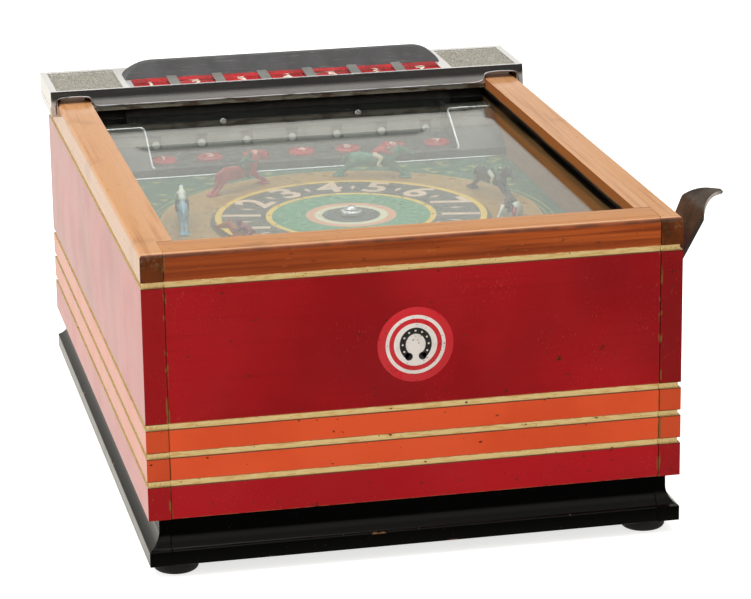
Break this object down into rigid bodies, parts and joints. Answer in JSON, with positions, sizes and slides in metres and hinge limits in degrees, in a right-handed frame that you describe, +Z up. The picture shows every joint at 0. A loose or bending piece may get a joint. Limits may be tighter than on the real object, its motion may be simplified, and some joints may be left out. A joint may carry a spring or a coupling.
{
  "type": "trade stimulator",
  "caption": "Counter-top horse-race trade stimulator: wooden cabinet with a glazed top, a lever-spun horse wheel, a metal coin head with numbered entries and a cash tray.",
  "frame": {"origin": "under the middle of the object's box, on the plane its four feet stand on", "axes": "+X to the player's right, the lever's side; +Y from the front to the back; +Z up"},
  "size_m": [0.3512, 0.4266, 0.2064],
  "materials": {
    "red_wood": "gloss red paint with gold grooves and a varnished top rail",
    "black_wood": "gloss black paint, worn",
    "brown_wood": "brown varnish",
    "plain_wood": "unfinished",
    "green_board": "painted fibreboard, satin",
    "foot_rubber": "matt",
    "pane_glass": "clear",
    "cast_aluminium": "polished, with sand-cast panels",
    "satin_aluminium": "satin",
    "hood_paint": "satin charcoal",
    "red_enamel": "gloss red enamel",
    "screw_steel": "plated",
    "mechanism_steel": "oiled",
    "tray_paint": "satin grey",
    "brass": "plain",
    "dial_paint": "gloss printed rings",
    "wheel_paint": "satin tan",
    "bright_chrome": "bright",
    "lever_paint": "dark brown, worn",
    "horse_black": "gloss enamel",
    "horse_green": "gloss enamel",
    "horse_red": "gloss enamel",
    "horse_blue": "gloss enamel",
    "horse_orange": "gloss enamel",
    "horse_yellow": "gloss enamel",
    "horse_white": "gloss enamel"
  },
  "bodies": {
    "cabinet": {"side_board_left": "red_wood", "side_board_right": "red_wood", "front_board": "red_wood", "plinth_front": "black_wood", "plinth_back": "black_wood", "plinth_left": "black_wood", "plinth_right": "black_wood", "back_board": "brown_wood", "bottom_board": "plain_wood", "board_cleats": "plain_wood", "play_board": "green_board", "rubber_feet": "foot_rubber", "glass_pane": "pane_glass", "coin_head": "cast_aluminium", "coin_apron": "satin_aluminium", "chute_plate": "satin_aluminium", "chute_ribs": "satin_aluminium", "chute_back": "satin_aluminium", "coin_hood": "hood_paint", "slot_inserts": "red_enamel", "number_discs": "red_enamel", "wood_screws": "screw_steel", "chute_screws": "screw_steel", "mech_bracket": "mechanism_steel", "spindle_post": "mechanism_steel", "rack_guides": "mechanism_steel", "shaft_bearings": "mechanism_steel", "return_spring": "mechanism_steel", "release_guides": "mechanism_steel", "cash_tray": "tray_paint", "thrust_washer": "brass", "hinge_frame_leaves": "brass", "hinge_pins": "brass", "dial_disc": "dial_paint", "dial_collar": "bright_chrome", "dial_screw": "bright_chrome"},
    "wheel": {"wheel_disc": "wheel_paint", "wheel_hub": "brass", "hub_rivets": "screw_steel", "horse_1": "horse_black", "horse_2": "horse_green", "horse_3": "horse_red", "horse_4": "horse_blue", "horse_5": "horse_orange", "horse_6": "horse_yellow", "horse_7": "horse_white"},
    "pinion": {"drive_pinion": "brass", "clutch_cover": "mechanism_steel", "clutch_rollers": "mechanism_steel"},
    "rack": {"rack_bar": "mechanism_steel"},
    "lever": {"play_lever": "lever_paint", "rock_shaft": "mechanism_steel", "drive_arm": "mechanism_steel", "release_arm": "mechanism_steel"},
    "release": {"release_bar": "mechanism_steel"},
    "door": {"back_door": "brown_wood", "hinge_door_leaves": "brass", "lock_housing": "bright_chrome"},
    "lock": {"lock_plug": "brass", "lock_cam": "mechanism_steel"}
  },
  "joints": [
    {"name": "lever_press", "type": "hinge", "parent": "cabinet", "child": "lever", "pos_m": [0.0931, -0.1543, 0.104], "axis": [0, 1, 0], "range_deg": [0, 36], "stiffness_Nm_per_rad": 0.4, "springref_deg": -22.92},
    {"name": "rack_slide", "type": "slide", "parent": "cabinet", "child": "rack", "axis": [1, 0, 0], "range_m": [0, 0.0175], "deforming": ["return_spring"]},
    {"name": "pinion_turn", "type": "hinge", "parent": "cabinet", "child": "pinion", "pos_m": [-0.0189, -0.0388, 0.1275], "axis": [0, 0, 1], "range_deg": [-51.2, 0]},
    {"name": "release_slide", "type": "slide", "parent": "cabinet", "child": "release", "axis": [1, 0, 0], "range_m": [0, 0.0162]},
    {"name": "wheel_spin", "type": "hinge", "parent": "cabinet", "child": "wheel", "pos_m": [-0.0189, -0.0388, 0.1459], "axis": [0, 0, 1], "continuous": true},
    {"name": "door_swing", "type": "hinge", "parent": "cabinet", "child": "door", "pos_m": [-0.1039, 0.2099, 0.0779], "axis": [0, 0, 1], "range_deg": [0, 100]},
    {"name": "lock_turn", "type": "hinge", "parent": "door", "child": "lock", "pos_m": [0.0511, 0.2067, 0.0779], "axis": [0, 1, 0], "range_deg": [0, 90]}
  ],
  "couplings": [
    {"joint": "rack_slide", "follows": "lever_press", "m_per_rad": 0.027542},
    {"joint": "release_slide", "follows": "lever_press", "m_per_rad": 0.025574},
    {"joint": "pinion_turn", "follows": "lever_press", "ratio": -1.4124}
  ]
}
